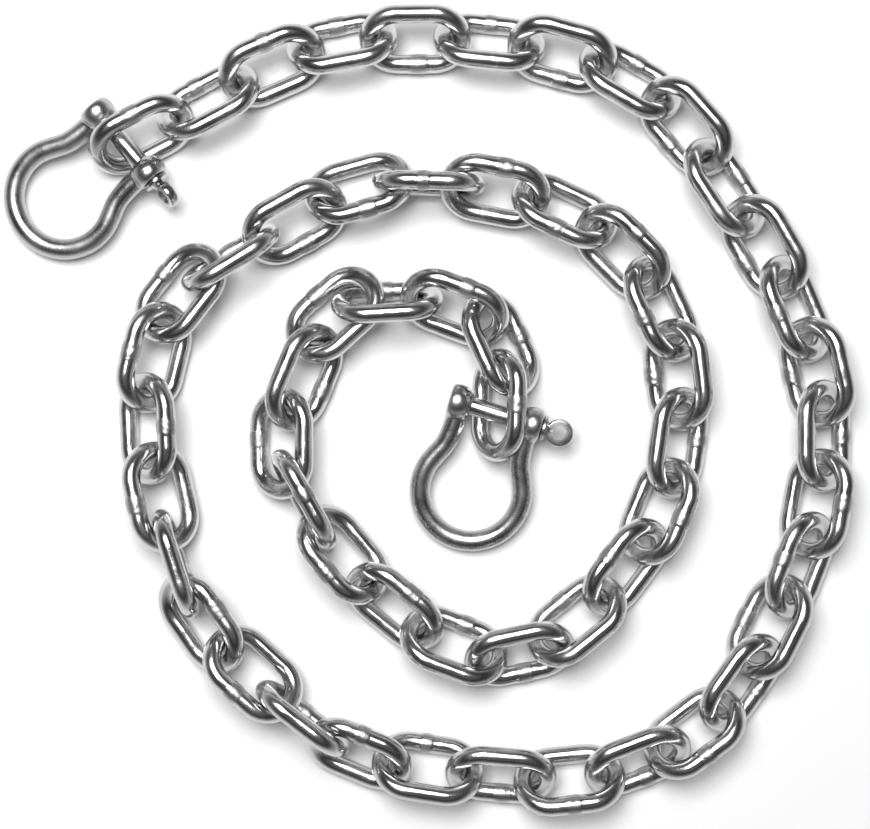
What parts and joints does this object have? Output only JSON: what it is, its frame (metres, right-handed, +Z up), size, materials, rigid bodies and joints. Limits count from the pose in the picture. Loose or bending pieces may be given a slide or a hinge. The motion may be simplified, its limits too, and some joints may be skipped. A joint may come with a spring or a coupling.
{
  "type": "anchor lead chain",
  "caption": "Polished steel anchor lead chain laid in a flat spiral, with a screw-pin bow shackle at each end.",
  "frame": {"origin": "middle of the part's box, on the ground it lies on", "axes": "+Z up; +X along the longer side of the spiral; the outer shackle lies at low X and high Y"},
  "size_m": [0.3626, 0.3412, 0.0324],
  "materials": {
    "link_steel": "polished",
    "bow_steel": "polished",
    "pin_steel": "polished"
  },
  "bodies": {
    "inner_shackle_bow": {"inner_shackle_bow": "bow_steel"},
    "inner_shackle_pin": {"inner_shackle_pin": "pin_steel"},
    "link_01": {"link_01": "link_steel"},
    "link_02": {"link_02": "link_steel"},
    "link_03": {"link_03": "link_steel"},
    "link_04": {"link_04": "link_steel"},
    "link_05_06": {"link_05_06": "link_steel"},
    "link_07": {"link_07": "link_steel"},
    "link_08": {"link_08": "link_steel"},
    "link_09": {"link_09": "link_steel"},
    "link_10": {"link_10": "link_steel"},
    "link_11": {"link_11": "link_steel"},
    "link_12": {"link_12": "link_steel"},
    "link_13": {"link_13": "link_steel"},
    "link_14": {"link_14": "link_steel"},
    "link_15": {"link_15": "link_steel"},
    "link_16": {"link_16": "link_steel"},
    "link_17": {"link_17": "link_steel"},
    "link_18": {"link_18": "link_steel"},
    "link_19": {"link_19": "link_steel"},
    "link_20": {"link_20": "link_steel"},
    "link_21": {"link_21": "link_steel"},
    "link_22": {"link_22": "link_steel"},
    "link_23": {"link_23": "link_steel"},
    "link_24": {"link_24": "link_steel"},
    "link_25": {"link_25": "link_steel"},
    "link_26": {"link_26": "link_steel"},
    "link_27": {"link_27": "link_steel"},
    "link_28": {"link_28": "link_steel"},
    "link_29": {"link_29": "link_steel"},
    "link_30": {"link_30": "link_steel"},
    "link_31": {"link_31": "link_steel"},
    "link_32": {"link_32": "link_steel"},
    "link_33": {"link_33": "link_steel"},
    "link_34": {"link_34": "link_steel"},
    "link_35": {"link_35": "link_steel"},
    "link_36": {"link_36": "link_steel"},
    "link_37": {"link_37": "link_steel"},
    "link_38": {"link_38": "link_steel"},
    "link_39": {"link_39": "link_steel"},
    "link_40": {"link_40": "link_steel"},
    "link_41": {"link_41": "link_steel"},
    "link_42": {"link_42": "link_steel"},
    "link_43": {"link_43": "link_steel"},
    "link_44": {"link_44": "link_steel"},
    "link_45": {"link_45": "link_steel"},
    "link_46": {"link_46": "link_steel"},
    "link_47": {"link_47": "link_steel"},
    "link_48": {"link_48": "link_steel"},
    "link_49": {"link_49": "link_steel"},
    "link_50": {"link_50": "link_steel"},
    "link_51": {"link_51": "link_steel"},
    "link_52": {"link_52": "link_steel"},
    "link_53": {"link_53": "link_steel"},
    "link_54": {"link_54": "link_steel"},
    "link_55": {"link_55": "link_steel"},
    "link_56": {"link_56": "link_steel"},
    "link_57": {"link_57": "link_steel"},
    "outer_shackle_bow": {"outer_shackle_bow": "bow_steel"},
    "outer_shackle_pin": {"outer_shackle_pin": "pin_steel"}
  },
  "joints": [
    {"name": "turn_28_29", "type": "hinge", "parent": "link_29", "child": "link_28", "pos_m": [-0.10957, -0.05064, 0.01518], "axis": [0, 0, -1], "range_deg": [-2, 12]},
    {"name": "turn_27_28", "type": "hinge", "parent": "link_28", "child": "link_27", "pos_m": [-0.10104, -0.07731, 0.01471], "axis": [0, 0, 1], "range_deg": [-6, 7]},
    {"name": "turn_26_27", "type": "hinge", "parent": "link_27", "child": "link_26", "pos_m": [-0.08481, -0.10073, 0.01396], "axis": [0, 0, -1], "range_deg": [-5, 5]},
    {"name": "turn_25_26", "type": "hinge", "parent": "link_26", "child": "link_25", "pos_m": [-0.06321, -0.12072, 0.01546], "axis": [0, 0, 1], "range_deg": [-12, 2]},
    {"name": "turn_24_25", "type": "hinge", "parent": "link_25", "child": "link_24", "pos_m": [-0.04094, -0.13783, 0.01461], "axis": [0, 0, -1], "range_deg": [-7, 4]},
    {"name": "turn_23_24", "type": "hinge", "parent": "link_24", "child": "link_23", "pos_m": [-0.01454, -0.14871, 0.01265], "axis": [0, 0, 1], "range_deg": [-14, 2]},
    {"name": "turn_22_23", "type": "hinge", "parent": "link_23", "child": "link_22", "pos_m": [0.01566, -0.15327, 0.01223], "axis": [0, 0, -1], "range_deg": [-7, 18]},
    {"name": "turn_21_22", "type": "hinge", "parent": "link_22", "child": "link_21", "pos_m": [0.04571, -0.15574, 0.01218], "axis": [0, 0, 1], "range_deg": [-18, 7]},
    {"name": "turn_20_21", "type": "hinge", "parent": "link_21", "child": "link_20", "pos_m": [0.07471, -0.15274, 0.01218], "axis": [0, 0, -1], "range_deg": [-7, 18]},
    {"name": "turn_19_20", "type": "hinge", "parent": "link_20", "child": "link_19", "pos_m": [0.10121, -0.14274, 0.01218], "axis": [0, 0, 1], "range_deg": [-18, 6]},
    {"name": "turn_18_19", "type": "hinge", "parent": "link_19", "child": "link_18", "pos_m": [0.12321, -0.12624, 0.01218], "axis": [0, 0, -1], "range_deg": [-6, 18]},
    {"name": "turn_17_18", "type": "hinge", "parent": "link_18", "child": "link_17", "pos_m": [0.13921, -0.10374, 0.01218], "axis": [0, 0, 1], "range_deg": [-18, 6]},
    {"name": "turn_16_17", "type": "hinge", "parent": "link_17", "child": "link_16", "pos_m": [0.15171, -0.07874, 0.01218], "axis": [0, 0, -1], "range_deg": [-7, 18]},
    {"name": "turn_15_16", "type": "hinge", "parent": "link_16", "child": "link_15", "pos_m": [0.16171, -0.05274, 0.01218], "axis": [0, 0, 1], "range_deg": [-18, 7]},
    {"name": "turn_14_15", "type": "hinge", "parent": "link_15", "child": "link_14", "pos_m": [0.16671, -0.02524, 0.01218], "axis": [0, 0, -1], "range_deg": [-5, 18]},
    {"name": "turn_13_14", "type": "hinge", "parent": "link_14", "child": "link_13", "pos_m": [0.16671, 0.00276, 0.01218], "axis": [0, 0, 1], "range_deg": [-18, 4]},
    {"name": "turn_12_13", "type": "hinge", "parent": "link_13", "child": "link_12", "pos_m": [0.16071, 0.02976, 0.01218], "axis": [0, 0, -1], "range_deg": [-3, 18]},
    {"name": "turn_11_12", "type": "hinge", "parent": "link_12", "child": "link_11", "pos_m": [0.14971, 0.05626, 0.01218], "axis": [0, 0, 1], "range_deg": [-18, 3]},
    {"name": "turn_10_11", "type": "hinge", "parent": "link_11", "child": "link_10", "pos_m": [0.13469, 0.08187, 0.01218], "axis": [0, 0, -1], "range_deg": [-2, 18]},
    {"name": "turn_09_10", "type": "hinge", "parent": "link_10", "child": "link_09", "pos_m": [0.11796, 0.10747, 0.01239], "axis": [0, 0, 1], "range_deg": [-15, 2]},
    {"name": "turn_08_09", "type": "hinge", "parent": "link_09", "child": "link_08", "pos_m": [0.09785, 0.1302, 0.01239], "axis": [0, 0, -1], "range_deg": [-2, 18]},
    {"name": "turn_07_08", "type": "hinge", "parent": "link_08", "child": "link_07", "pos_m": [0.07155, 0.14555, 0.01243], "axis": [0, 0, 1], "range_deg": [-18, 3]},
    {"name": "turn_06_07", "type": "hinge", "parent": "link_07", "child": "link_05_06", "pos_m": [0.04169, 0.15374, 0.01243], "axis": [0, 0, -1], "range_deg": [-4, 18]},
    {"name": "turn_04_05", "type": "hinge", "parent": "link_05_06", "child": "link_04", "pos_m": [-0.02068, 0.15659, 0.01238], "axis": [0, 0, 1], "range_deg": [-18, 3]},
    {"name": "turn_03_04", "type": "hinge", "parent": "link_04", "child": "link_03", "pos_m": [-0.05099, 0.15091, 0.01231], "axis": [0, 0, -1], "range_deg": [-4, 18]},
    {"name": "turn_02_03", "type": "hinge", "parent": "link_03", "child": "link_02", "pos_m": [-0.07945, 0.13861, 0.01243], "axis": [0, 0, 1], "range_deg": [-18, 7]},
    {"name": "turn_01_02", "type": "hinge", "parent": "link_02", "child": "link_01", "pos_m": [-0.10704, 0.12399, 0.01309], "axis": [0, 0, -1], "range_deg": [-7, 12]},
    {"name": "turn_29_30", "type": "hinge", "parent": "link_29", "child": "link_30", "pos_m": [-0.11587, -0.02223, 0.01317], "axis": [0, 0, 1], "range_deg": [-7, 15]},
    {"name": "turn_30_31", "type": "hinge", "parent": "link_30", "child": "link_31", "pos_m": [-0.11727, 0.00743, 0.01241], "axis": [0, 0, -1], "range_deg": [-14, 6]},
    {"name": "turn_31_32", "type": "hinge", "parent": "link_31", "child": "link_32", "pos_m": [-0.11026, 0.03619, 0.0125], "axis": [0, 0, 1], "range_deg": [-2, 13]},
    {"name": "turn_32_33", "type": "hinge", "parent": "link_32", "child": "link_33", "pos_m": [-0.09391, 0.05716, 0.01408], "axis": [0, 0, -1], "range_deg": [-4, 7]},
    {"name": "turn_33_34", "type": "hinge", "parent": "link_33", "child": "link_34", "pos_m": [-0.0696, 0.07217, 0.01501], "axis": [0, 0, 1], "range_deg": [-6, 12]},
    {"name": "turn_34_35", "type": "hinge", "parent": "link_34", "child": "link_35", "pos_m": [-0.0426, 0.08707, 0.01361], "axis": [0, 0, -1], "range_deg": [-7, 4]},
    {"name": "turn_35_36", "type": "hinge", "parent": "link_35", "child": "link_36", "pos_m": [-0.0143, 0.09502, 0.01462], "axis": [0, 0, 1], "range_deg": [-4, 6]},
    {"name": "turn_36_37", "type": "hinge", "parent": "link_36", "child": "link_37", "pos_m": [0.01451, 0.09417, 0.01602], "axis": [0, 0, -1], "range_deg": [-15, 4]},
    {"name": "turn_37_38", "type": "hinge", "parent": "link_37", "child": "link_38", "pos_m": [0.04332, 0.08872, 0.01443], "axis": [0, 0, 1], "range_deg": [-6, 1]},
    {"name": "turn_38_39", "type": "hinge", "parent": "link_38", "child": "link_39", "pos_m": [0.07031, 0.07595, 0.01293], "axis": [0, 0, -1], "range_deg": [-18, 1]},
    {"name": "turn_39_40", "type": "hinge", "parent": "link_39", "child": "link_40", "pos_m": [0.09088, 0.05519, 0.0125], "axis": [0, 0, 1], "range_deg": [-4, 18]},
    {"name": "turn_40_41", "type": "hinge", "parent": "link_40", "child": "link_41", "pos_m": [0.10271, 0.02926, 0.01218], "axis": [0, 0, -1], "range_deg": [-18, 4]},
    {"name": "turn_41_42", "type": "hinge", "parent": "link_41", "child": "link_42", "pos_m": [0.10621, 0.00076, 0.01218], "axis": [0, 0, 1], "range_deg": [-6, 18]},
    {"name": "turn_42_43", "type": "hinge", "parent": "link_42", "child": "link_43", "pos_m": [0.10221, -0.02824, 0.01218], "axis": [0, 0, -1], "range_deg": [-18, 7]},
    {"name": "turn_43_44", "type": "hinge", "parent": "link_43", "child": "link_44", "pos_m": [0.09121, -0.05474, 0.01218], "axis": [0, 0, 1], "range_deg": [-7, 18]},
    {"name": "turn_44_45", "type": "hinge", "parent": "link_44", "child": "link_45", "pos_m": [0.07372, -0.0779, 0.01233], "axis": [0, 0, -1], "range_deg": [-18, 6]},
    {"name": "turn_45_46", "type": "hinge", "parent": "link_45", "child": "link_46", "pos_m": [0.0512, -0.09624, 0.01233], "axis": [0, 0, 1], "range_deg": [-4, 15]},
    {"name": "turn_46_47", "type": "hinge", "parent": "link_46", "child": "link_47", "pos_m": [0.02519, -0.10157, 0.0122], "axis": [0, 0, -1], "range_deg": [-14, 3]},
    {"name": "turn_47_48", "type": "hinge", "parent": "link_47", "child": "link_48", "pos_m": [-0.00143, -0.09154, 0.01224], "axis": [0, 0, 1], "range_deg": [-4, 17]},
    {"name": "turn_48_49", "type": "hinge", "parent": "link_48", "child": "link_49", "pos_m": [-0.02492, -0.07219, 0.01326], "axis": [0, 0, -1], "range_deg": [-10, 7]},
    {"name": "turn_49_50", "type": "hinge", "parent": "link_49", "child": "link_50", "pos_m": [-0.04402, -0.04934, 0.01516], "axis": [0, 0, 1], "range_deg": [-3, 18]},
    {"name": "turn_50_51", "type": "hinge", "parent": "link_50", "child": "link_51", "pos_m": [-0.05716, -0.02581, 0.01367], "axis": [0, 0, -1], "range_deg": [-9, 7]},
    {"name": "turn_51_52", "type": "hinge", "parent": "link_51", "child": "link_52", "pos_m": [-0.05709, -0.00001, 0.01221], "axis": [0, 0, 1], "range_deg": [-7, 14]},
    {"name": "turn_52_53", "type": "hinge", "parent": "link_52", "child": "link_53", "pos_m": [-0.04573, 0.02738, 0.01246], "axis": [0, 0, -1], "range_deg": [-9, 4]},
    {"name": "turn_53_54", "type": "hinge", "parent": "link_53", "child": "link_54", "pos_m": [-0.02814, 0.04333, 0.01344], "axis": [0, 0, 1], "range_deg": [-7, 13]},
    {"name": "turn_54_55", "type": "hinge", "parent": "link_54", "child": "link_55", "pos_m": [-0.00276, 0.04468, 0.01491], "axis": [0, 0, -1], "range_deg": [-18, 6]},
    {"name": "turn_55_56", "type": "hinge", "parent": "link_55", "child": "link_56", "pos_m": [0.02127, 0.03585, 0.01347], "axis": [0, 0, 1], "range_deg": [-7, 18]},
    {"name": "turn_56_57", "type": "hinge", "parent": "link_56", "child": "link_57", "pos_m": [0.03062, 0.01521, 0.01343], "axis": [0, 0, -1], "range_deg": [-5, 4]},
    {"name": "outer_bow_swing", "type": "hinge", "parent": "link_01", "child": "outer_shackle_bow", "pos_m": [-0.12879, 0.11316, 0.01376], "axis": [-0.6494, 0.7604, 0], "range_deg": [0, 64]},
    {"name": "outer_pin_screw", "type": "hinge", "parent": "outer_shackle_bow", "child": "outer_shackle_pin", "pos_m": [-0.12879, 0.11316, 0.01376], "axis": [-0.6494, 0.7604, 0], "range_deg": [0, 720]},
    {"name": "inner_bow_swing", "type": "hinge", "parent": "link_57", "child": "inner_shackle_bow", "pos_m": [0.02871, -0.00114, 0.01376], "axis": [-0.9563, 0.2924, 0], "range_deg": [0, 12]},
    {"name": "inner_pin_screw", "type": "hinge", "parent": "inner_shackle_bow", "child": "inner_shackle_pin", "pos_m": [0.02871, -0.00114, 0.01376], "axis": [-0.9563, 0.2924, 0], "range_deg": [0, 720]}
  ]
}
